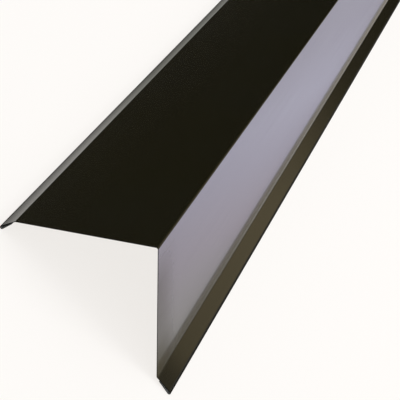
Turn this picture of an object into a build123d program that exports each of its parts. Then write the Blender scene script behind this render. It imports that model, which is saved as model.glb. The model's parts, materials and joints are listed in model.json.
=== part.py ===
# Verge flashing: one strip of painted steel sheet, folded into a ridge with two hemmed edges
#
# The section is drawn as it sits on a roof, with the roof flange level and the verge flange
# hanging from the ridge. It is then turned about its length until both hems touch the floor,
# because that is how the loose piece lies: like a low tent, with the ridge on top.
# X runs across the sheet, Y along it and Z up. The origin is on the floor, midway along the
# piece and midway between the two hems. All lengths are in millimetres.

import os
from math import asin, atan, atan2, cos, degrees, hypot, radians, sin

from build123d import *

# Flat sizes, taken on the painted face from sharp corner to sharp corner
length = 2000.0
sheet = 0.5
roof_flange = 100.0
verge_flange = 100.0
lip = 13.0
kick = 15.0

# Folds: the ridge is the angle between the flanges, the others turn away from their flange
ridge_angle = 90.0
lip_turn = 26.5
kick_turn = 43.5
ridge_inside_radius = 1.2
edge_inside_radius = 1.0

# Hems: each free edge is folded back to the hidden side, round a small open bore
hem_bore = 1.6
hem_end_gap = 0.3
hem_setback = 3.3

# Radii on the painted face, which is outside the ridge, lip and hem folds but inside the kick fold
nose_radius = hem_bore / 2 + sheet
ridge_radius = ridge_inside_radius + sheet
lip_radius = edge_inside_radius + sheet
kick_radius = edge_inside_radius


def direction(heading):
    """Unit vector in the section, for a heading in degrees from the section's own X."""
    return Vector(cos(radians(heading)), sin(radians(heading)))


# Headings of the four flats, each one running away from the ridge
verge_heading = -90.0
roof_heading = verge_heading - ridge_angle
lip_heading = roof_heading + lip_turn
kick_heading = verge_heading + kick_turn

# Sharp corners of the painted face
ridge_corner = Vector(0, 0)
lip_corner = ridge_corner + direction(roof_heading) * roof_flange
kick_corner = ridge_corner + direction(verge_heading) * verge_flange

# Where each flat ends and its hem begins, and the centre that the hem is folded round
lip_edge = lip_corner + direction(lip_heading) * (lip - nose_radius)
kick_edge = kick_corner + direction(kick_heading) * (kick - nose_radius)
lip_nose = lip_edge + direction(lip_heading + 90) * nose_radius
kick_nose = kick_edge + direction(kick_heading - 90) * nose_radius


def hem_return(flat):
    """Straight length of a hem that stops short of its fold by the setback."""
    return flat - nose_radius - hem_setback


def hem_taper(straight):
    """Angle in degrees by which a hem closes, so that its free edge ends at the end gap."""
    bore_radius = hem_bore / 2
    reach = hypot(straight, bore_radius)
    return degrees(atan(bore_radius / straight) + asin((bore_radius - hem_end_gap) / reach))


def hem(edge, heading, side, flat):
    """Fold the painted face round the nose and back along the flat, on the side given as 1 or -1."""
    straight = hem_return(flat)
    turn = 180 + hem_taper(straight)
    nose = JernArc(start=edge, tangent=direction(heading), radius=nose_radius, arc_size=side * turn)
    Line(nose @ 1, nose @ 1 + (nose % 1) * straight)
    return nose.length + straight


# The loose piece rests on both noses, so the line between their centres is level
rest_line = kick_nose - lip_nose
rest_turn = -degrees(atan2(rest_line.Y, rest_line.X))
rest_middle = (lip_nose + kick_nose) * 0.5
section_x = Vector(cos(radians(rest_turn)), 0, sin(radians(rest_turn)))
section_y = Vector(-sin(radians(rest_turn)), 0, cos(radians(rest_turn)))
section_origin = Vector(0, 0, nose_radius) - section_x * rest_middle.X - section_y * rest_middle.Y
section_plane = Plane(origin=section_origin, x_dir=section_x, z_dir=(0, -1, 0))

with BuildPart() as folded_sheet:
    with BuildSketch(section_plane):
        with BuildLine():
            flats = FilletPolyline(
                lip_edge,
                lip_corner,
                ridge_corner,
                kick_corner,
                kick_edge,
                radius=[lip_radius, ridge_radius, kick_radius],
            )
            lip_hem = hem(lip_edge, lip_heading, 1, lip)
            kick_hem = hem(kick_edge, kick_heading, -1, kick)
            offset(amount=sheet, side=Side.RIGHT)
        make_face()
    extrude(amount=length / 2, both=True)

folded_sheet.part.label = "folded_sheet"

os.makedirs("parts", exist_ok=True)
export_step(folded_sheet.part, "parts/folded_sheet.step")

print("painted face, hem edge to hem edge:", round(flats.length + lip_hem + kick_hem, 2))
print("turned from its place on the roof by degrees:", round(rest_turn, 3))
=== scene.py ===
"""Verge flashing: a folded, hemmed and painted steel sheet, dressed for its picture."""
import json
from collections import namedtuple
from math import asin, atan, cos, hypot, pi, radians, sin, tan

import bpy
from bpy.props import FloatProperty, FloatVectorProperty, IntProperty, PointerProperty
from mathutils import Matrix, Vector


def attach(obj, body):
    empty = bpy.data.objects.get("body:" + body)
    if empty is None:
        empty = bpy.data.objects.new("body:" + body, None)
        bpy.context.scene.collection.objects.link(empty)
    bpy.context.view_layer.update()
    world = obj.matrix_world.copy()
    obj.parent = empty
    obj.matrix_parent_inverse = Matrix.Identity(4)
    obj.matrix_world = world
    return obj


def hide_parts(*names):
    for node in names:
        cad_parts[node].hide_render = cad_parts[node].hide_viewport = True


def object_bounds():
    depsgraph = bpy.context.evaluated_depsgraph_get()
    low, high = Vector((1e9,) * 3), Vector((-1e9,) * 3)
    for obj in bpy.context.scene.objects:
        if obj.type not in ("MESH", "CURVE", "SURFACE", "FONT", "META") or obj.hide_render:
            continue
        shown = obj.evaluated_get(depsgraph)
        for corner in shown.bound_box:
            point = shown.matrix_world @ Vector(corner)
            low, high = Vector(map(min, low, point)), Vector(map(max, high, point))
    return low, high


bl_info = {
    "name": "Verge flashing",
    "version": (1, 0, 0),
    "blender": (4, 5, 0),
    "location": "3D View > Sidebar > Flashing",
    "description": "Folds a verge flashing from one strip of sheet and lights it on a pale floor",
    "category": "Object",
}

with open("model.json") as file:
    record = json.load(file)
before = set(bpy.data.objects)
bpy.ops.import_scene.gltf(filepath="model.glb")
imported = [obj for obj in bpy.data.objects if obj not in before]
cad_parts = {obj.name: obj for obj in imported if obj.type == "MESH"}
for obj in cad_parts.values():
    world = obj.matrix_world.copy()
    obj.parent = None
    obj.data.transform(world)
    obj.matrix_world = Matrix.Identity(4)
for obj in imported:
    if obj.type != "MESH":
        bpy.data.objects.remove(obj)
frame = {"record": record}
cad_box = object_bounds()

MM = 0.001
SHEET_NODE = "folded_sheet"
SHEET_PIECE = "flashing_sheet"
UV_NAME = "UVMap"

mounts = {mount["name"]: mount for mount in frame["record"]["mounts"]}
ROOF_MOUNT = mounts["roof_flange_underside"]
VERGE_MOUNT = mounts["verge_flange_back"]

# Directions of the piece as it sits on a roof, seen in the frame of the piece at rest
OUTWARD = -Vector(VERGE_MOUNT["axis"])
ALONG = Vector((0, 1, 0))
UPWARD = -Vector(ROOF_MOUNT["axis"])
NEAR_END = cad_box[0].y


def ridge_corner(thickness):
    """Sharp corner of the painted face at the near end, where the two flanges' planes meet."""
    up = UPWARD.dot(Vector(ROOF_MOUNT["pos_m"])) + thickness
    out = OUTWARD.dot(Vector(VERGE_MOUNT["pos_m"])) + thickness
    return UPWARD * up + OUTWARD * out + ALONG * NEAR_END


# Sizes and colours that a user would change


class FlashingSheet(bpy.types.PropertyGroup):
    """Sizes of the folded sheet, on its painted face from sharp corner to sharp corner."""

    thickness: FloatProperty(
        name="Sheet", description="Thickness of the painted sheet",
        default=0.5 * MM, min=0.1 * MM, unit="LENGTH")
    roof_flange: FloatProperty(
        name="Roof flange", description="Width from the ridge to the lip",
        default=100 * MM, unit="LENGTH")
    verge_flange: FloatProperty(
        name="Verge flange", description="Width from the ridge to the kick",
        default=100 * MM, unit="LENGTH")
    lip: FloatProperty(
        name="Lip", description="Width of the turned-down lip, to the tip of its hem",
        default=13 * MM, unit="LENGTH")
    kick: FloatProperty(
        name="Kick", description="Width of the outward kick, to the tip of its hem",
        default=15 * MM, unit="LENGTH")
    lip_turn: FloatProperty(
        name="Lip turn", description="Angle by which the lip turns down from the roof flange",
        default=radians(26.5), unit="ROTATION")
    kick_turn: FloatProperty(
        name="Kick turn", description="Angle by which the kick turns out from the verge flange",
        default=radians(43.5), unit="ROTATION")
    ridge_radius: FloatProperty(
        name="Ridge radius", description="Radius of the ridge on its painted face",
        default=1.7 * MM, unit="LENGTH")
    lip_radius: FloatProperty(
        name="Lip radius", description="Radius of the lip's fold on its painted face",
        default=1.5 * MM, unit="LENGTH")
    kick_radius: FloatProperty(
        name="Kick radius", description="Radius of the kick's fold on its painted face",
        default=1.0 * MM, unit="LENGTH")
    hem_bore: FloatProperty(
        name="Hem bore", description="Width of the open bore that a hem is folded round",
        default=1.6 * MM, unit="LENGTH")
    hem_end_gap: FloatProperty(
        name="Hem end gap", description="Gap under the free edge of a hem",
        default=0.3 * MM, unit="LENGTH")
    hem_setback: FloatProperty(
        name="Hem setback", description="Distance from a hem's free edge to its flange's fold",
        default=3.3 * MM, unit="LENGTH")
    wave: FloatProperty(
        name="Wave", description="Height of the slow waves that thin sheet has between its folds",
        default=0.12 * MM, unit="LENGTH")
    rows: IntProperty(
        name="Rows", description="Steps of the mesh along the sheet", default=125, min=2)


class FlashingCoat(bpy.types.PropertyGroup):
    """Colours of the sheet's two coats and of its cut edge."""

    paint: FloatVectorProperty(
        name="Paint", description="Colour of the gloss coat on the weather side",
        default=(0.0135, 0.0115, 0.0040), size=3, min=0, max=1, subtype="COLOR")
    paint_worn: FloatVectorProperty(
        name="Paint, dusty", description="Colour of the gloss coat where it is scuffed or dusty",
        default=(0.014, 0.0125, 0.008), size=3, min=0, max=1, subtype="COLOR")
    # Painted shade: the coat's colour near the cut ends
    end_shade: FloatVectorProperty(
        name="Paint, painted shade at the cut ends", description="Colour of the coat in the painted shade near a cut end",
        default=(0.055, 0.042, 0.010), size=3, min=0, max=1, subtype="COLOR")
    # Painted highlight: the colour of a thin pale line along the kick fold
    crease: FloatVectorProperty(
        name="Paint, painted highlight at the kick fold", description="Colour of the painted highlight along the kick fold",
        default=(0.30, 0.29, 0.28), size=3, min=0, max=1, subtype="COLOR")
    backing: FloatVectorProperty(
        name="Backing coat", description="Colour of the thin coat on the hidden side",
        default=(0.36, 0.36, 0.34), size=3, min=0, max=1, subtype="COLOR")
    # Near-black, partly for paint on the edge and partly as painted shade
    shaded_cut_steel: FloatVectorProperty(
        name="Cut edge", description="Colour of the cut edges, darkened by paint and by painted shade",
        default=(0.006, 0.006, 0.005), size=3, min=0, max=1, subtype="COLOR")


class FlashingStage(bpy.types.PropertyGroup):
    """Camera, lamps and floor."""

    camera_out: FloatProperty(
        name="Camera out", description="Camera's distance outward from the ridge's near end",
        default=234.4 * MM, unit="LENGTH")
    camera_back: FloatProperty(
        name="Camera back", description="Camera's distance back from the sheet's near end",
        default=669.4 * MM, unit="LENGTH")
    camera_up: FloatProperty(
        name="Camera up", description="Camera's height above the roof flange",
        default=403.9 * MM, unit="LENGTH")
    camera_turn: FloatProperty(
        name="Camera turn", description="Turn of the view from the sheet's length to its left",
        default=radians(17.239), unit="ROTATION")
    camera_dip: FloatProperty(
        name="Camera dip", description="Dip of the view below the roof flange",
        default=radians(27.500), unit="ROTATION")
    camera_roll: FloatProperty(
        name="Camera roll", description="Roll of the camera about its view",
        default=radians(-1.559), unit="ROTATION")
    lens: FloatProperty(
        name="Lens", description="Focal length on a 36 mm sensor", default=115.46, unit="CAMERA")
    pale: FloatVectorProperty(
        name="Pale ground", description="Colour of the floor and the air behind it as seen directly",
        default=(1.0, 0.967, 0.928), size=3, min=0, max=1, subtype="COLOR")
    key_power: FloatProperty(
        name="Key lamp", description="Power of the white lamp on the right", default=45, unit="POWER")
    fill_power: FloatProperty(
        name="Fill lamp", description="Power of the warm lamp on the left", default=10, unit="POWER")


# Node helpers

FLOAT = "NodeSocketFloat"
INT = "NodeSocketInt"
VECTOR = "NodeSocketVector"
GEOMETRY = "NodeSocketGeometry"
MATERIAL = "NodeSocketMaterial"

UNIT_RANGE = (0.0, 1.0)


def add(tree, kind, inputs=None, **settings):
    """Add a node with its properties, and fill its inputs from values or from other sockets."""
    node = tree.nodes.new(kind)
    for name, value in settings.items():
        setattr(node, name, value)
    for name, value in (inputs or {}).items():
        socket = node.inputs[name]
        if isinstance(value, bpy.types.NodeSocket):
            tree.links.new(value, socket)
        else:
            socket.default_value = value
    return node


def math(tree, operation, *values):
    """Output of a Math node."""
    return add(tree, "ShaderNodeMath", dict(enumerate(values)), operation=operation).outputs[0]


def vector_math(tree, operation, *values, output=0):
    """Output of a Vector Math node."""
    node = add(tree, "ShaderNodeVectorMath", dict(enumerate(values)), operation=operation)
    return node.outputs[output]


def scaled(tree, vector, factor):
    """A vector times a number."""
    node = add(tree, "ShaderNodeVectorMath", {0: vector, "Scale": factor}, operation="SCALE")
    return node.outputs[0]


def parts_of(tree, vector):
    """The X, Y and Z of a vector."""
    return add(tree, "ShaderNodeSeparateXYZ", {0: vector}).outputs


def vector_of(tree, **parts):
    """A vector made from its X, Y and Z, where one that isn't given is 0."""
    return add(tree, "ShaderNodeCombineXYZ", parts).outputs[0]


def noise(tree, place, scale, detail):
    """Noise that changes with its place, around 0.5."""
    inputs = {"Vector": place, "Scale": scale, "Detail": detail}
    return add(tree, "ShaderNodeTexNoise", inputs).outputs["Fac"]


def spread(tree, value, over, to):
    """Spread a value that goes over one range evenly to another range, and no further."""
    inputs = {"Value": value, "From Min": over[0], "From Max": over[1], "To Min": to[0], "To Max": to[1]}
    return add(tree, "ShaderNodeMapRange", inputs).outputs[0]


def eased(tree, share):
    """A share from 0 to 1, slowed at both ends."""
    return add(tree, "ShaderNodeMapRange", {"Value": share}, interpolation_type="SMOOTHSTEP").outputs[0]


def eased_past(tree, value, edge, width):
    """0 before an edge and 1 once past it by a width, eased between."""
    return eased(tree, math(tree, "DIVIDE", math(tree, "SUBTRACT", value, edge), width))


def mix(tree, factor, first, second, kind="RGBA", **settings):
    """The first of two colours or numbers where the factor is 0, and the second where it is 1."""
    inputs = {"Factor": factor, "A": first, "B": second}
    return add(tree, "ShaderNodeMix", inputs, data_type=kind, **settings).outputs["Result"]


def new_tree(name, kind, inputs, outputs):
    """A node group with named sockets, given as (name, type, default) and (name, type)."""
    tree = bpy.data.node_groups.new(name, kind)
    for label, socket_type, default in inputs:
        socket = tree.interface.new_socket(label, in_out="INPUT", socket_type=socket_type)
        if default is not None:
            socket.default_value = default
    for label, socket_type in outputs:
        tree.interface.new_socket(label, in_out="OUTPUT", socket_type=socket_type)
    return tree, add(tree, "NodeGroupInput").outputs, add(tree, "NodeGroupOutput").inputs


def group_node(tree, group, **values):
    """Place a shader group, with its inputs given by name, underscores for spaces."""
    inputs = {name.replace("_", " "): value for name, value in values.items()}
    return add(tree, "ShaderNodeGroup", inputs, node_tree=group).outputs[0]


# The folded strip: flats and folds laid end to end, each one starting where the last one ends

STRIP_INPUTS = [
    ("Start", VECTOR, None),
    ("Heading", FLOAT, 0.0),
    ("Across start", FLOAT, 0.0),
    ("Steps", INT, 8),
    ("Length", FLOAT, 2.0),
    ("Rows", INT, 100),
]
STRIP_OUTPUTS = [
    ("Strip", GEOMETRY),
    ("End", VECTOR),
    ("End heading", FLOAT),
    ("Across end", FLOAT),
]

# Cells to a metre of the noise that makes the slow waves, across the sheet and along it
WAVE_CELLS_ACROSS = 9.0
WAVE_CELLS_ALONG = 3.5

# Points closer than the weld become one, and an edge that bends by more than the angle is sharp
WELD = 1e-6
SHARP_BEND = radians(40)


def section_vector(tree, heading):
    """Unit vector in the section for a heading in radians."""
    return vector_of(tree, X=math(tree, "COSINE", heading), Z=math(tree, "SINE", heading))


def strip_grid(tree, given):
    """A grid of the strip's steps and rows, with its place across from 0 to 1 and along."""
    columns = math(tree, "ADD", given["Steps"], 1)
    rows = math(tree, "ADD", given["Rows"], 1)
    sizes = {"Size X": 1.0, "Size Y": given["Length"], "Vertices X": columns, "Vertices Y": rows}
    grid = add(tree, "GeometryNodeMeshGrid", sizes).outputs["Mesh"]
    place = parts_of(tree, add(tree, "GeometryNodeInputPosition").outputs[0])
    return grid, math(tree, "ADD", place["X"], 0.5), place["Y"]


def place_strip(tree, grid, in_section, along, across):
    """Put each point of a strip's grid in its place, and keep its place on the flat sheet as a UV."""
    mapped = add(
        tree, "GeometryNodeStoreNamedAttribute",
        {"Geometry": grid, "Name": UV_NAME, "Value": vector_of(tree, X=across, Y=along)},
        data_type="FLOAT2", domain="CORNER").outputs[0]
    position = vector_math(tree, "ADD", in_section, vector_of(tree, Y=along))
    placed = add(tree, "GeometryNodeSetPosition", {"Geometry": mapped, "Position": position})
    return placed.outputs[0]


def flat_strip_tree():
    """Group for a flat strip, with slow waves that fade out at its two folds."""
    inputs = STRIP_INPUTS + [("Width", FLOAT, 0.1), ("Wave", FLOAT, 0.0)]
    tree, given, out = new_tree("Flat strip", "GeometryNodeTree", inputs, STRIP_OUTPUTS)
    grid, share, along = strip_grid(tree, given)
    closer_at_folds = eased(tree, share)
    reach = math(tree, "MULTIPLY", closer_at_folds, given["Width"])
    across = math(tree, "ADD", given["Across start"], reach)
    ahead = section_vector(tree, given["Heading"])
    off_face = section_vector(tree, math(tree, "ADD", given["Heading"], pi / 2))

    # The swing goes from -1 to 1, and the window from 0 at the folds to 1 halfway between them
    cells_across = math(tree, "MULTIPLY", across, WAVE_CELLS_ACROSS)
    cells_along = math(tree, "MULTIPLY", along, WAVE_CELLS_ALONG)
    waves = noise(tree, vector_of(tree, X=cells_across, Y=cells_along), scale=1.0, detail=1.0)
    swing = math(tree, "MULTIPLY", math(tree, "SUBTRACT", waves, 0.5), 2.0)
    rest = math(tree, "SUBTRACT", 1.0, closer_at_folds)
    hump = math(tree, "MULTIPLY", math(tree, "MULTIPLY", closer_at_folds, rest), 4.0)
    window = math(tree, "POWER", hump, 2.0)
    lift = math(tree, "MULTIPLY", math(tree, "MULTIPLY", swing, window), given["Wave"])

    level = vector_math(tree, "ADD", given["Start"], scaled(tree, ahead, reach))
    in_section = vector_math(tree, "ADD", level, scaled(tree, off_face, lift))
    tree.links.new(place_strip(tree, grid, in_section, along, across), out["Strip"])
    end = vector_math(tree, "ADD", given["Start"], scaled(tree, ahead, given["Width"]))
    tree.links.new(end, out["End"])
    tree.links.new(given["Heading"], out["End heading"])
    tree.links.new(math(tree, "ADD", given["Across start"], given["Width"]), out["Across end"])
    return tree


def fold_strip_tree():
    """Group for a fold: an arc of the section that turns its heading, to the left if positive."""
    inputs = STRIP_INPUTS + [("Radius", FLOAT, MM), ("Turn", FLOAT, pi / 2)]
    tree, given, out = new_tree("Fold strip", "GeometryNodeTree", inputs, STRIP_OUTPUTS)
    grid, share, along = strip_grid(tree, given)
    side = math(tree, "SIGN", given["Turn"])
    signed_radius = math(tree, "MULTIPLY", given["Radius"], side)

    def on_arc(turn):
        """Point of the arc after a turn, from its start."""
        heading = math(tree, "ADD", given["Heading"], turn)
        from_centre = section_vector(tree, math(tree, "SUBTRACT", heading, pi / 2))
        start_from_centre = section_vector(tree, math(tree, "SUBTRACT", given["Heading"], pi / 2))
        chord = vector_math(tree, "SUBTRACT", from_centre, start_from_centre)
        return vector_math(tree, "ADD", given["Start"], scaled(tree, chord, signed_radius))

    arc_length = math(tree, "MULTIPLY", given["Radius"], math(tree, "ABSOLUTE", given["Turn"]))
    across = math(tree, "ADD", given["Across start"], math(tree, "MULTIPLY", arc_length, share))
    in_section = on_arc(math(tree, "MULTIPLY", given["Turn"], share))
    tree.links.new(place_strip(tree, grid, in_section, along, across), out["Strip"])
    tree.links.new(on_arc(given["Turn"]), out["End"])
    tree.links.new(math(tree, "ADD", given["Heading"], given["Turn"]), out["End heading"])
    tree.links.new(math(tree, "ADD", given["Across start"], arc_length), out["Across end"])
    return tree


Strip = namedtuple("Strip", "name kind sizes width steps")


def flat(name, width, steps, wave=0.0):
    """A flat strip of some width, with waves of some height."""
    return Strip(name, "flat", {"Width": width, "Wave": wave}, width, steps)


def fold(name, radius, turn, steps):
    """A fold of some radius, which takes up as much of the sheet's width as its arc is long."""
    return Strip(name, "fold", {"Radius": radius, "Turn": turn}, radius * abs(turn), steps)


def hem_taper(sizes, straight):
    """Angle by which a hem closes, so that its free edge ends at the end gap."""
    bore_radius = sizes.hem_bore / 2
    reach = hypot(straight, bore_radius)
    return atan(bore_radius / straight) + asin((bore_radius - sizes.hem_end_gap) / reach)


def strips_of(sizes):
    """The sheet's flats and folds from free edge to free edge.

    A flat loses what its folds take from it beside the sharp corners that the sizes are
    measured to.
    """
    nose = sizes.hem_bore / 2 + sizes.thickness
    lip_loss = sizes.lip_radius * tan(sizes.lip_turn / 2)
    kick_loss = sizes.kick_radius * tan(sizes.kick_turn / 2)
    ridge_loss = sizes.ridge_radius * tan(pi / 4)
    lip_return = sizes.lip - nose - sizes.hem_setback
    kick_return = sizes.kick - nose - sizes.hem_setback
    roof_flat = sizes.roof_flange - lip_loss - ridge_loss
    verge_flat = sizes.verge_flange - ridge_loss - kick_loss
    return [
        flat("Lip hem", lip_return, steps=6),
        fold("Lip nose", nose, -(pi + hem_taper(sizes, lip_return)), steps=18),
        flat("Lip", sizes.lip - nose - lip_loss, steps=10),
        fold("Lip fold", sizes.lip_radius, -sizes.lip_turn, steps=8),
        flat("Roof flange", roof_flat, steps=28, wave=sizes.wave),
        fold("Ridge", sizes.ridge_radius, -pi / 2, steps=12),
        flat("Verge flange", verge_flat, steps=28, wave=sizes.wave),
        fold("Kick fold", sizes.kick_radius, sizes.kick_turn, steps=8),
        flat("Kick", sizes.kick - nose - kick_loss, steps=10),
        fold("Kick nose", nose, -(pi + hem_taper(sizes, kick_return)), steps=18),
        flat("Kick hem", kick_return, steps=6),
    ]


def starts_across(strips):
    """Where each strip starts on the flat sheet, measured across it from its first free edge."""
    marks, across = {}, 0.0
    for strip in strips:
        marks[strip.name] = across
        across += strip.width
    return marks


def with_coat(tree, geometry, coat, faces=True):
    """The geometry with a coat on all its faces, or on those selected."""
    inputs = {"Geometry": geometry, "Selection": faces, "Material": coat}
    return add(tree, "GeometryNodeSetMaterial", inputs).outputs[0]


def folded_sheet_tree(strips):
    """The whole sheet: strips laid end to end, thickened, stood on the floor and painted."""
    inputs = [("Length", FLOAT, 2.0), ("Rows", INT, 100), ("First heading", FLOAT, 0.0),
              ("Thickness", FLOAT, 0.5 * MM)]
    for strip in strips:
        for label, value in strip.sizes.items():
            inputs.append((f"{strip.name}: {label}", FLOAT, value))
    for label in ("Paint", "Nose paint", "Backing", "Cut edge"):
        inputs.append((label, MATERIAL, None))
    tree, given, out = new_tree("Folded sheet", "GeometryNodeTree", inputs, [("Sheet", GEOMETRY)])

    groups = {"flat": flat_strip_tree(), "fold": fold_strip_tree()}
    joined = add(tree, "GeometryNodeJoinGeometry")
    start = {"Heading": given["First heading"]}
    for strip in strips:
        inputs = {"Steps": strip.steps, "Length": given["Length"], "Rows": given["Rows"], **start}
        for label in strip.sizes:
            inputs[label] = given[f"{strip.name}: {label}"]
        laid = add(tree, "GeometryNodeGroup", inputs, node_tree=groups[strip.kind], label=strip.name).outputs
        start = {"Start": laid["End"], "Heading": laid["End heading"], "Across start": laid["Across end"]}
        coat = given["Nose paint" if strip.name.endswith("nose") else "Paint"]
        tree.links.new(with_coat(tree, laid["Strip"], coat), joined.inputs[0])

    outside = add(tree, "GeometryNodeMergeByDistance", {"Geometry": joined.outputs[0], "Distance": WELD})
    turned_over = add(tree, "GeometryNodeFlipFaces", {0: outside.outputs[0]})
    inside = add(
        tree, "GeometryNodeExtrudeMesh",
        {"Mesh": turned_over.outputs[0], "Offset Scale": given["Thickness"], "Individual": False})
    both = add(tree, "GeometryNodeJoinGeometry")
    tree.links.new(outside.outputs[0], both.inputs[0])
    tree.links.new(inside.outputs["Mesh"], both.inputs[0])
    welded = add(tree, "GeometryNodeMergeByDistance", {"Geometry": both.outputs[0], "Distance": WELD})

    smooth = add(
        tree, "GeometryNodeSetShadeSmooth", {0: welded.outputs[0], "Shade Smooth": True}, domain="FACE")
    bend = add(tree, "GeometryNodeInputMeshEdgeAngle").outputs["Unsigned Angle"]
    sharp = add(
        tree, "GeometryNodeSetShadeSmooth",
        {0: smooth.outputs[0], "Selection": math(tree, "GREATER_THAN", bend, SHARP_BEND),
         "Shade Smooth": False}, domain="EDGE")

    box = add(tree, "GeometryNodeBoundBox", {0: sharp.outputs[0]})
    low = parts_of(tree, box.outputs["Min"])
    high = parts_of(tree, box.outputs["Max"])
    to_middle = math(tree, "MULTIPLY", math(tree, "ADD", low["X"], high["X"]), -0.5)
    to_floor = math(tree, "MULTIPLY", low["Z"], -1.0)
    stood = add(
        tree, "GeometryNodeSetPosition",
        {"Geometry": sharp.outputs[0], "Offset": vector_of(tree, X=to_middle, Z=to_floor)})
    real = add(tree, "GeometryNodeRealizeInstances", {0: stood.outputs[0]})
    backed = with_coat(tree, real.outputs[0], given["Backing"], inside.outputs["Top"])
    edged = with_coat(tree, backed, given["Cut edge"], inside.outputs["Side"])
    tree.links.new(edged, out["Sheet"])
    return tree


# Shader groups that the finishes share

# How many times smaller the fine grains of the skin are than the coarse ones
FINER = 2.7


def skin_tree():
    """Shader group: the fine pebbled skin of a stoved coat, as a height."""
    inputs = [("Place", VECTOR, None), ("Cell", FLOAT, 1.2 * MM), ("Fine share", FLOAT, 0.35)]
    tree, given, out = new_tree("Pebbled skin", "ShaderNodeTree", inputs, [("Height", FLOAT)])
    scale = math(tree, "DIVIDE", 1.0, given["Cell"])
    coarse = noise(tree, given["Place"], scale, detail=2.0)
    fine = noise(tree, given["Place"], math(tree, "MULTIPLY", scale, FINER), detail=1.0)
    share = math(tree, "MULTIPLY", fine, given["Fine share"])
    tree.links.new(math(tree, "ADD", coarse, share), out["Height"])
    return tree


def streak_tree():
    """Shader group: streaks drawn out along the sheet, from rolling and from sliding it about."""
    inputs = [("Place", VECTOR, None), ("Width", FLOAT, 2 * MM), ("Stretch", FLOAT, 60.0)]
    tree, given, out = new_tree("Drawn streaks", "ShaderNodeTree", inputs, [("Mask", FLOAT)])
    place = parts_of(tree, given["Place"])
    across = math(tree, "DIVIDE", place["X"], given["Width"])
    along = math(tree, "DIVIDE", place["Y"], math(tree, "MULTIPLY", given["Width"], given["Stretch"]))
    drawn = vector_of(tree, X=across, Y=along)
    tree.links.new(noise(tree, drawn, scale=1.0, detail=3.0), out["Mask"])
    return tree


def band_tree():
    """Shader group: a band of the flat sheet between two places across it, with soft edges."""
    inputs = [("Place", VECTOR, None), ("From", FLOAT, 0.0), ("To", FLOAT, 0.1), ("Soft edge", FLOAT, MM)]
    tree, given, out = new_tree("Band across the sheet", "ShaderNodeTree", inputs, [("Mask", FLOAT)])
    across = parts_of(tree, given["Place"])["X"]
    past_from = eased_past(tree, across, given["From"], given["Soft edge"])
    past_to = eased_past(tree, across, given["To"], given["Soft edge"])
    tree.links.new(math(tree, "SUBTRACT", past_from, past_to), out["Mask"])
    return tree


def end_tree():
    """Shader group: the last stretch of the sheet before each cut end, fading inwards."""
    inputs = [("Place", VECTOR, None), ("Half length", FLOAT, 1.0), ("Reach", FLOAT, 0.05)]
    tree, given, out = new_tree("Near the cut ends", "ShaderNodeTree", inputs, [("Mask", FLOAT)])
    along = parts_of(tree, given["Place"])["Y"]
    inner = math(tree, "SUBTRACT", given["Half length"], given["Reach"])
    mask = eased_past(tree, math(tree, "ABSOLUTE", along), inner, given["Reach"])
    tree.links.new(mask, out["Mask"])
    return tree


# Finishes of the sheet

# What the noise of the streaks, of the dust and of the skin mostly ranges over
STREAK_RANGE = (0.3, 0.7)
DUST_RANGE = (0.35, 0.75)
SKIN_RANGE = (0.45, 0.9)

# Gloss coat: the most dust on it, its roughness from streak to streak, and where it is dulled
MOST_DUST = 0.35
GLOSS_ROUGHNESS = (0.20, 0.24)
DULLED_ROUGHNESS = 0.8

# The thin pale line above the kick fold, a painted highlight along the fold: where it starts and stops
# before the fold, its strength far from the cut ends and at them, and the length over which that changes
CREASE_START = 1.5 * MM
CREASE_STOP = 0.3 * MM
CREASE_STRENGTH = (1.0, 0.05)
CREASE_FADE = 0.4

# How far from the two noses the paint is still matt, on the lip and on the kick
MATT_ON_LIP = 0.9 * MM
MATT_ON_KICK = 1.1 * MM

# The cut ends, dulled on the kick and darkened on the verge flange as painted shade: their length; on the
# verge flange two fades that add up, each between two shares of its width and from one strength to another;
# on the kick, how much of the gloss is roughened and how much is lost
END_SHADE_LENGTH = 0.045
END_SHADE_BELOW_RIDGE = ((0.03, 0.27), (0.05, 0.33))
END_SHADE_ABOVE_KICK = ((0.70, 0.95), (0.0, 0.47))
KICK_ROUGHENED = 0.1
KICK_GLOSS_LOST = 0.9


def rgba(colour, share=1.0):
    """A colour, or a share of it, as four numbers."""
    return (*(channel * share for channel in colour), 1.0)


def new_material(name):
    """An empty node material and its tree."""
    material = bpy.data.materials.new(name)
    material.use_nodes = True
    material.node_tree.nodes.clear()
    return material, material.node_tree


def flat_place(tree):
    """Place on the flat sheet, in metres across it and along it."""
    return add(tree, "ShaderNodeUVMap", uv_map=UV_NAME).outputs[0]


def solid_place(tree):
    """Place in space, in metres from the piece's origin."""
    return add(tree, "ShaderNodeTexCoord").outputs["Object"]


def bump(tree, height, strength, distance):
    """Normal of a surface with a fine relief, whose depth is a distance in metres."""
    inputs = {"Height": height, "Strength": strength, "Distance": distance}
    return add(tree, "ShaderNodeBump", inputs).outputs[0]


def set_surface(tree, shader):
    """Send a shader to the material's output."""
    add(tree, "ShaderNodeOutputMaterial", {"Surface": shader.outputs[0]})


def crease_highlight_mask(tree, groups, place, marks, half_length):
    """Mask of the thin pale line above the kick fold, a painted highlight along the fold."""
    fold_start = marks["Kick fold"]
    line = group_node(
        tree, groups["band"], Place=place, From=fold_start - CREASE_START,
        To=fold_start - CREASE_STOP, Soft_edge=0.3 * MM)
    near_ends = group_node(tree, groups["end"], Place=place, Half_length=half_length, Reach=CREASE_FADE)
    return math(tree, "MULTIPLY", line, spread(tree, near_ends, over=UNIT_RANGE, to=CREASE_STRENGTH))


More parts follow.
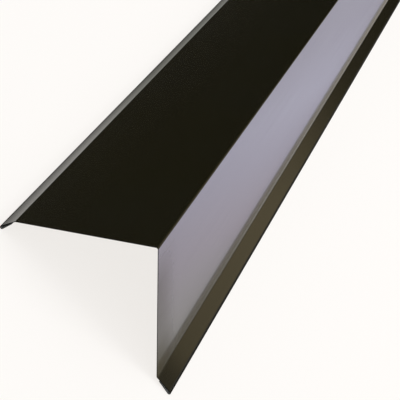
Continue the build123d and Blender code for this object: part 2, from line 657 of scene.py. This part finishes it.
def dulled_and_shaded_ends(tree, groups, place, marks, half_length):
    """Masks of the cut ends: on the verge flange a painted shade, browner, duller and without coat; on the
    kick only its gloss is dulled.
    """
    ridge, kick = marks["Verge flange"], marks["Kick fold"]
    on_verge = group_node(tree, groups["band"], Place=place, From=ridge, To=kick, Soft_edge=2 * MM)
    on_kick = group_node(
        tree, groups["band"], Place=place, From=kick, To=marks["Kick nose"], Soft_edge=1 * MM)
    near_ends = group_node(tree, groups["end"], Place=place, Half_length=half_length, Reach=END_SHADE_LENGTH)
    across = parts_of(tree, place)["X"]
    strengths = []
    for shares, strength in (END_SHADE_BELOW_RIDGE, END_SHADE_ABOVE_KICK):
        places = [ridge + share * (kick - ridge) for share in shares]
        strengths.append(spread(tree, across, over=places, to=strength))
    verge_strength = math(tree, "MULTIPLY", on_verge, math(tree, "ADD", *strengths))
    return math(tree, "MULTIPLY", near_ends, verge_strength), math(tree, "MULTIPLY", near_ends, on_kick)


def gloss_paint(coat, groups, marks, half_length):
    """Dark gloss coat of the weather side: pebbled skin, streaks, a painted highlight along the kick fold
    and painted shade at the cut ends.
    """
    material, tree = new_material("Dark gloss coat")
    place = flat_place(tree)
    solid = solid_place(tree)
    streaks = group_node(tree, groups["streaks"], Place=place, Width=2.5 * MM, Stretch=80.0)
    skin = group_node(tree, groups["skin"], Place=solid, Cell=1.2 * MM)
    clouds = noise(tree, solid, scale=14.0, detail=3.0)
    dusty = spread(tree, clouds, over=DUST_RANGE, to=(0.0, MOST_DUST))
    crease_highlight = crease_highlight_mask(tree, groups, place, marks, half_length)
    verge_end_shade, kick_end = dulled_and_shaded_ends(tree, groups, place, marks, half_length)
    colour = mix(tree, dusty, rgba(coat.paint), rgba(coat.paint_worn))
    # Painted highlight: a thin pale line just above the kick fold
    colour = mix(tree, crease_highlight, colour, rgba(coat.crease))
    # Painted shade: the verge flange goes browner near the cut ends, most towards the kick fold
    colour = mix(tree, verge_end_shade, colour, rgba(coat.end_shade))

    between_noses = group_node(
        tree, groups["band"], Place=place, From=marks["Lip"] + MATT_ON_LIP,
        To=marks["Kick nose"] - MATT_ON_KICK, Soft_edge=0.3 * MM)
    beside_nose = math(tree, "SUBTRACT", 1.0, between_noses)
    kick_dull = math(tree, "MULTIPLY", kick_end, KICK_ROUGHENED)
    kick_bare = math(tree, "MULTIPLY", kick_end, KICK_GLOSS_LOST)
    # Near the cut ends the painted shade also takes the verge flange's coat and gloss; the kick is only
    # dulled there
    dull = math(tree, "MAXIMUM", beside_nose, math(tree, "ADD", verge_end_shade, kick_dull))
    bare = math(tree, "MAXIMUM", beside_nose, math(tree, "ADD", verge_end_shade, kick_bare))
    sheen = spread(tree, streaks, over=STREAK_RANGE, to=GLOSS_ROUGHNESS)
    roughness = mix(tree, dull, sheen, DULLED_ROUGHNESS, kind="FLOAT")
    shader = add(
        tree, "ShaderNodeBsdfPrincipled",
        {"Base Color": colour, "Roughness": roughness, "IOR": 1.5,
         "Normal": bump(tree, skin, strength=0.05, distance=0.03 * MM),
         "Coat Weight": math(tree, "SUBTRACT", 1.0, bare), "Coat Roughness": 0.08, "Coat IOR": 1.5})
    set_surface(tree, shader)
    return material


def shaded_nose_paint(coat, groups):
    """The same paint on a hem's nose: matt and finely crazed where the fold stretched it, and darker as
    painted shade along the hem's outer edge.
    """
    material, tree = new_material("Stretched paint on the noses")
    skin = group_node(tree, groups["skin"], Place=solid_place(tree), Cell=0.5 * MM)
    crazed = spread(tree, skin, over=SKIN_RANGE, to=UNIT_RANGE)
    shader = add(
        tree, "ShaderNodeBsdfPrincipled",
        # Painted shade: the nose's colour is a fifth to a half of the paint's
        {"Base Color": mix(tree, crazed, rgba(coat.paint, share=0.2), rgba(coat.paint, share=0.5)),
         "Roughness": 0.9, "Specular IOR Level": 0.04,
         "Normal": bump(tree, skin, strength=0.3, distance=0.03 * MM)})
    set_surface(tree, shader)
    return material


def backing_paint(coat, groups):
    """Thin pale coat of the hidden side, duller than the paint and streaked by the rollers."""
    material, tree = new_material("Pale backing coat")
    streaks = group_node(tree, groups["streaks"], Place=flat_place(tree), Width=4 * MM, Stretch=50.0)
    skin = group_node(tree, groups["skin"], Place=solid_place(tree), Cell=0.9 * MM)
    streaked = spread(tree, streaks, over=STREAK_RANGE, to=UNIT_RANGE)
    shader = add(
        tree, "ShaderNodeBsdfPrincipled",
        {"Base Color": mix(tree, streaked, rgba(coat.backing, share=0.8), rgba(coat.backing)),
         "Roughness": spread(tree, streaks, over=STREAK_RANGE, to=(0.45, 0.6)),
         "Normal": bump(tree, skin, strength=0.3, distance=0.02 * MM)})
    set_surface(tree, shader)
    return material


def shaded_cut_steel(coat, groups):
    """Sheared steel on the cut edges, dulled and finely scored, and near-black partly for paint on the edge
    and partly as painted shade.
    """
    material, tree = new_material("Cut steel edge")
    skin = group_node(tree, groups["skin"], Place=solid_place(tree), Cell=0.3 * MM)
    scored = spread(tree, skin, over=SKIN_RANGE, to=UNIT_RANGE)
    shader = add(
        tree, "ShaderNodeBsdfPrincipled",
        # Painted shade: the cut edges are near-black
        {"Base Color": mix(tree, scored, rgba(coat.shaded_cut_steel, share=0.5), rgba(coat.shaded_cut_steel)),
         "Roughness": spread(tree, skin, over=(0.4, 0.9), to=(0.6, 0.8)), "Specular IOR Level": 0.08,
         "Normal": bump(tree, skin, strength=0.5, distance=0.04 * MM)})
    set_surface(tree, shader)
    return material


# Stage

# Painted reflection: the floor's colour as only the gloss mirrors it, on each side: place along the floor in
# metres, then colour
SHEEN_LEFT = [
    (-0.86, (1.0, 0.95, 0.87)),
    (-0.70, (0.62, 0.60, 0.52)),
    (-0.50, (0.62, 0.60, 0.53)),
]
SHEEN_RIGHT = [
    (-0.95, (0.68, 0.645, 0.595)),
    (-0.73, (0.72, 0.642, 0.715)),
    (-0.55, (0.71, 0.66, 0.775)),
    (-0.38, (0.725, 0.69, 0.815)),
    (-0.10, (0.595, 0.56, 0.65)),
    (0.60, (0.52, 0.50, 0.56)),
]

# How that changes across the floor: between two places in metres, from one strength to another. Beside the
# lip it falls as a painted shadow of the piece, and to the far left it is painted darker. Under the piece
# the left side's sheen gives way to the right side's.
SHADOW_BESIDE_LIP = ((-0.091, -0.081), (1.0, 0.38))
SHEEN_FAR_LEFT = ((-0.30, -0.10), (0.05, 0.75))
SHEEN_OUTWARD = ((0.08, 0.23), (0.97, 1.05))
UNDER_PIECE = (-0.02, 0.06)

# Colour of the floor under the lamps, and the even glow that makes up most of what a camera sees
LIT_FLOOR = (0.86, 0.86, 0.86)
GLOW_STRENGTH = 1.035
GLOW_SHARE = 0.8

# Soft panels that the gloss mirrors, in degrees: azimuth from +Y towards +X, half width, lowest
# and highest elevation, width of the soft edge, then the colour
PANELS = {
    "Dark opening ahead": (-18, 50, -20, 50, 5, (0.003, 0.003, 0.002)),
    "Warm board ahead": (16, 4, 27.5, 32, 6.5, (0.43, 0.353, 0.215)),
    "Low board on the right": (28, 11, 0, 9, 4, (0.45, 0.405, 0.335)),
    "Wall behind": (180, 35, 8, 45, 14, (0.5, 0.5, 0.5)),
    "Wall on the left": (-95, 20, 8, 40, 14, (0.5, 0.5, 0.52)),
    "Wall on the right": (95, 20, 8, 40, 14, (0.5, 0.5, 0.52)),
}

# The room between the panels, and the light from all around that matt surfaces get
ROOM = (0.20, 0.20, 0.21)
SOFT_LIGHT = (0.6, 0.62, 0.66)

# Square lamps that face the origin: place and side in metres, then colour
KEY_LAMP = ((1.8, -0.4, 2.4), 2.0, (1.0, 1.0, 1.0))
FILL_LAMP = ((-2.4, -1.2, 1.6), 2.0, (1.0, 0.97, 0.92))

# Side of the floor and nearest and farthest distance seen, in metres, and the sensor in millimetres
FLOOR_SIDE = 60
SEEN_FROM, SEEN_TO = 0.01, 100
SENSOR_WIDTH = 36


def ramp_along(tree, along, stops):
    """Colour ramp over a place along the floor, from its stops."""
    first, last = stops[0][0], stops[-1][0]
    share = spread(tree, along, over=(first, last), to=UNIT_RANGE)
    node = add(tree, "ShaderNodeValToRGB", {"Fac": share})
    elements = node.color_ramp.elements
    elements[0].color = rgba(stops[0][1])
    elements[1].color = rgba(stops[-1][1])
    for place, colour in stops[1:-1]:
        elements.new((place - first) / (last - first)).color = rgba(colour)
    return node.outputs["Color"]


def floor_material(pale):
    """Pale floor: seen directly it is nearly white, and it keeps part of the piece's shadow. To the gloss it
    shows painted reflection colours, with a painted shadow beside the lip.
    """
    material, tree = new_material("Pale floor")
    light_path = add(tree, "ShaderNodeLightPath").outputs
    place = parts_of(tree, solid_place(tree))
    shadow_beside_lip = spread(tree, place["X"], *SHADOW_BESIDE_LIP)
    far_left = spread(tree, place["X"], *SHEEN_FAR_LEFT)
    outward = spread(tree, place["X"], *SHEEN_OUTWARD)
    left = scaled(
        tree, ramp_along(tree, place["Y"], SHEEN_LEFT), math(tree, "MULTIPLY", shadow_beside_lip, far_left))
    right = scaled(tree, ramp_along(tree, place["Y"], SHEEN_RIGHT), outward)
    sheen = mix(tree, spread(tree, place["X"], over=UNDER_PIECE, to=UNIT_RANGE), left, right)
    # Painted reflection: the gloss sees the floor in the painted colours above, other rays see it lit
    colour = mix(tree, light_path["Is Glossy Ray"], rgba(LIT_FLOOR), sheen)
    lit = add(tree, "ShaderNodeBsdfDiffuse", {"Color": colour})
    glow = add(tree, "ShaderNodeEmission", {"Color": rgba(pale), "Strength": GLOW_STRENGTH})
    seen = math(tree, "MULTIPLY", light_path["Is Camera Ray"], GLOW_SHARE)
    set_surface(tree, add(tree, "ShaderNodeMixShader", {0: seen, 1: lit.outputs[0], 2: glow.outputs[0]}))
    return material


def panel_tree():
    """Shader group: a soft-edged panel in the air around the piece, as a mask over directions."""
    inputs = [("Towards", VECTOR, None), ("Facing", VECTOR, None), ("Half width", FLOAT, 0.1),
              ("Low", FLOAT, 0.1), ("High", FLOAT, 0.2), ("Soft edge", FLOAT, 0.1)]
    tree, given, out = new_tree("Soft panel", "ShaderNodeTree", inputs, [("Mask", FLOAT)])
    parts = parts_of(tree, given["Towards"])
    level = vector_math(tree, "NORMALIZE", vector_of(tree, X=parts["X"], Y=parts["Y"]))
    facing = vector_math(tree, "DOT_PRODUCT", level, given["Facing"], output="Value")
    aside = math(tree, "ARCCOSINE", facing)
    height = math(tree, "ARCSINE", parts["Z"])

    soft = given["Soft edge"]
    inside = math(tree, "SUBTRACT", 1.0, eased_past(tree, aside, given["Half width"], soft))
    above = eased_past(tree, height, math(tree, "SUBTRACT", given["Low"], soft), soft)
    below = math(tree, "SUBTRACT", 1.0, eased_past(tree, height, given["High"], soft))
    mask = math(tree, "MULTIPLY", inside, math(tree, "MULTIPLY", above, below))
    tree.links.new(mask, out["Mask"])
    return tree


def make_world(pale):
    """White to the eye, soft grey for matt surfaces, and a dark room with soft panels for gloss."""
    world = bpy.data.worlds.new("Studio")
    world.use_nodes = True
    tree = world.node_tree
    tree.nodes.clear()
    light_path = add(tree, "ShaderNodeLightPath").outputs
    towards = add(tree, "ShaderNodeTexCoord").outputs["Generated"]
    room = rgba(ROOM)
    panel = panel_tree()
    for name, (azimuth, half_width, low, high, soft_edge, colour) in PANELS.items():
        facing = (sin(radians(azimuth)), cos(radians(azimuth)), 0)
        mask = group_node(
            tree, panel, Towards=towards, Facing=facing, Half_width=radians(half_width),
            Low=radians(low), High=radians(high), Soft_edge=radians(soft_edge))
        room = mix(tree, mask, room, rgba(colour), label=name)
    soft, mirrored, white = (
        add(tree, "ShaderNodeBackground", {"Color": colour, "Strength": 1.0}).outputs[0]
        for colour in (rgba(SOFT_LIGHT), room, rgba(pale)))
    matt_or_gloss = add(tree, "ShaderNodeMixShader", {0: light_path["Is Glossy Ray"], 1: soft, 2: mirrored})
    seen = add(
        tree, "ShaderNodeMixShader",
        {0: light_path["Is Camera Ray"], 1: matt_or_gloss.outputs[0], 2: white})
    add(tree, "ShaderNodeOutputWorld", {"Surface": seen.outputs[0]})
    return world


def area_lamp(name, power, place, side, colour):
    """A square lamp that faces the origin."""
    lamp = bpy.data.lights.new(name, "AREA")
    lamp.size = side
    lamp.energy = power
    lamp.color = colour
    holder = bpy.data.objects.new(name, lamp)
    holder.location = place
    holder.rotation_euler = (-Vector(place)).to_track_quat("-Z", "Y").to_euler()
    bpy.context.scene.collection.objects.link(holder)


def make_camera(stage, sheet):
    """Camera at the photograph's view of the piece as it sits on a roof, turned with the piece."""
    turn, dip, roll = -stage.camera_turn, stage.camera_dip, stage.camera_roll
    ahead = Vector((sin(turn) * cos(dip), cos(turn) * cos(dip), -sin(dip)))
    level_right = Vector((cos(turn), -sin(turn), 0))
    level_down = ahead.cross(level_right)
    right = level_right * cos(roll) + level_down * sin(roll)
    down = level_down * cos(roll) - level_right * sin(roll)
    on_roof = Matrix((right, -down, -ahead)).transposed()
    roof_axes = Matrix((OUTWARD, ALONG, UPWARD)).transposed()
    place = Vector((stage.camera_out, -stage.camera_back, stage.camera_up))
    camera = bpy.data.cameras.new("Camera")
    camera.lens = stage.lens
    camera.sensor_width = SENSOR_WIDTH
    camera.clip_start = SEEN_FROM
    camera.clip_end = SEEN_TO
    holder = bpy.data.objects.new("Camera", camera)
    bpy.context.scene.collection.objects.link(holder)
    world = (roof_axes @ on_roof).to_4x4()
    world.translation = ridge_corner(sheet.thickness) + roof_axes @ place
    holder.matrix_world = world
    bpy.context.scene.camera = holder


# Operators


def bake(holder, name):
    """Turn an object's evaluated modifiers into a plain mesh in a new object at the origin."""
    depsgraph = bpy.context.evaluated_depsgraph_get()
    mesh = bpy.data.meshes.new_from_object(
        holder.evaluated_get(depsgraph), preserve_all_data_layers=True, depsgraph=depsgraph)
    mesh.name = name
    # The grids of the strips bring an empty first slot with them
    if mesh.materials[0] is None:
        mesh.materials.pop(index=0)
    bpy.data.objects.remove(holder)
    piece = bpy.data.objects.new(name, mesh)
    bpy.context.scene.collection.objects.link(piece)
    return piece


class FLASHING_OT_fold_sheet(bpy.types.Operator):
    """Fold the strip into the finished sheet and paint it"""

    bl_idname = "flashing.fold_sheet"
    bl_label = "Fold the sheet"

    def execute(self, context):
        sizes = context.scene.flashing_sheet
        coat = context.scene.flashing_coat
        groups = {"skin": skin_tree(), "streaks": streak_tree(), "band": band_tree(), "end": end_tree()}
        strips = strips_of(sizes)
        marks = starts_across(strips)
        tree = folded_sheet_tree(strips)

        rest_turn = OUTWARD.angle(Vector((1, 0, 0)))
        first_taper = hem_taper(sizes, strips[0].width)
        values = {
            "Length": cad_box[1].y - cad_box[0].y,
            "Rows": sizes.rows,
            "First heading": rest_turn + sizes.lip_turn - pi + first_taper,
            "Thickness": sizes.thickness,
            "Paint": gloss_paint(coat, groups, marks, cad_box[1].y),
            "Nose paint": shaded_nose_paint(coat, groups),
            "Backing": backing_paint(coat, groups),
            "Cut edge": shaded_cut_steel(coat, groups),
        }
        holder = bpy.data.objects.new("Folding", bpy.data.meshes.new("Folding"))
        context.scene.collection.objects.link(holder)
        modifier = holder.modifiers.new("Fold", "NODES")
        modifier.node_group = tree
        sockets = {item.name: item.identifier for item in tree.interface.items_tree}
        for name, value in values.items():
            modifier[sockets[name]] = value
        piece = bake(holder, SHEET_PIECE)
        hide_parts(SHEET_NODE)
        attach(piece, "root")
        return {"FINISHED"}


class FLASHING_OT_set_stage(bpy.types.Operator):
    """Set the floor, the lamps, the surroundings and the camera"""

    bl_idname = "flashing.set_stage"
    bl_label = "Set the stage"

    def execute(self, context):
        stage = context.scene.flashing_stage
        bpy.ops.mesh.primitive_plane_add(size=FLOOR_SIDE)
        floor = context.active_object
        floor.name = "Floor"
        floor.data.materials.append(floor_material(stage.pale))
        context.scene.world = make_world(stage.pale)
        area_lamp("Key lamp", stage.key_power, *KEY_LAMP)
        area_lamp("Fill lamp", stage.fill_power, *FILL_LAMP)
        make_camera(stage, context.scene.flashing_sheet)
        context.scene.view_settings.view_transform = "Standard"
        return {"FINISHED"}


class FLASHING_PT_panel(bpy.types.Panel):
    """Sizes and steps of the flashing in the sidebar"""

    bl_idname = "FLASHING_PT_panel"
    bl_label = "Verge flashing"
    bl_space_type = "VIEW_3D"
    bl_region_type = "UI"
    bl_category = "Flashing"

    def draw(self, context):
        layout = self.layout
        scene = context.scene
        for group in (scene.flashing_sheet, scene.flashing_coat, scene.flashing_stage):
            column = layout.column(align=True)
            for name in group.__annotations__:
                column.prop(group, name)
        layout.operator(FLASHING_OT_fold_sheet.bl_idname)
        layout.operator(FLASHING_OT_set_stage.bl_idname)


CLASSES = (
    FlashingSheet,
    FlashingCoat,
    FlashingStage,
    FLASHING_OT_fold_sheet,
    FLASHING_OT_set_stage,
    FLASHING_PT_panel,
)


def register():
    """Register the classes and hang their settings on the scene."""
    for cls in CLASSES:
        bpy.utils.register_class(cls)
    bpy.types.Scene.flashing_sheet = PointerProperty(type=FlashingSheet)
    bpy.types.Scene.flashing_coat = PointerProperty(type=FlashingCoat)
    bpy.types.Scene.flashing_stage = PointerProperty(type=FlashingStage)


def unregister():
    """Take the settings off the scene and unregister the classes."""
    del bpy.types.Scene.flashing_stage
    del bpy.types.Scene.flashing_coat
    del bpy.types.Scene.flashing_sheet
    for cls in reversed(CLASSES):
        bpy.utils.unregister_class(cls)


def main():
    """Build the sheet and its stage."""
    register()
    bpy.ops.flashing.fold_sheet()
    bpy.ops.flashing.set_stage()


if __name__ == "__main__":
    main()
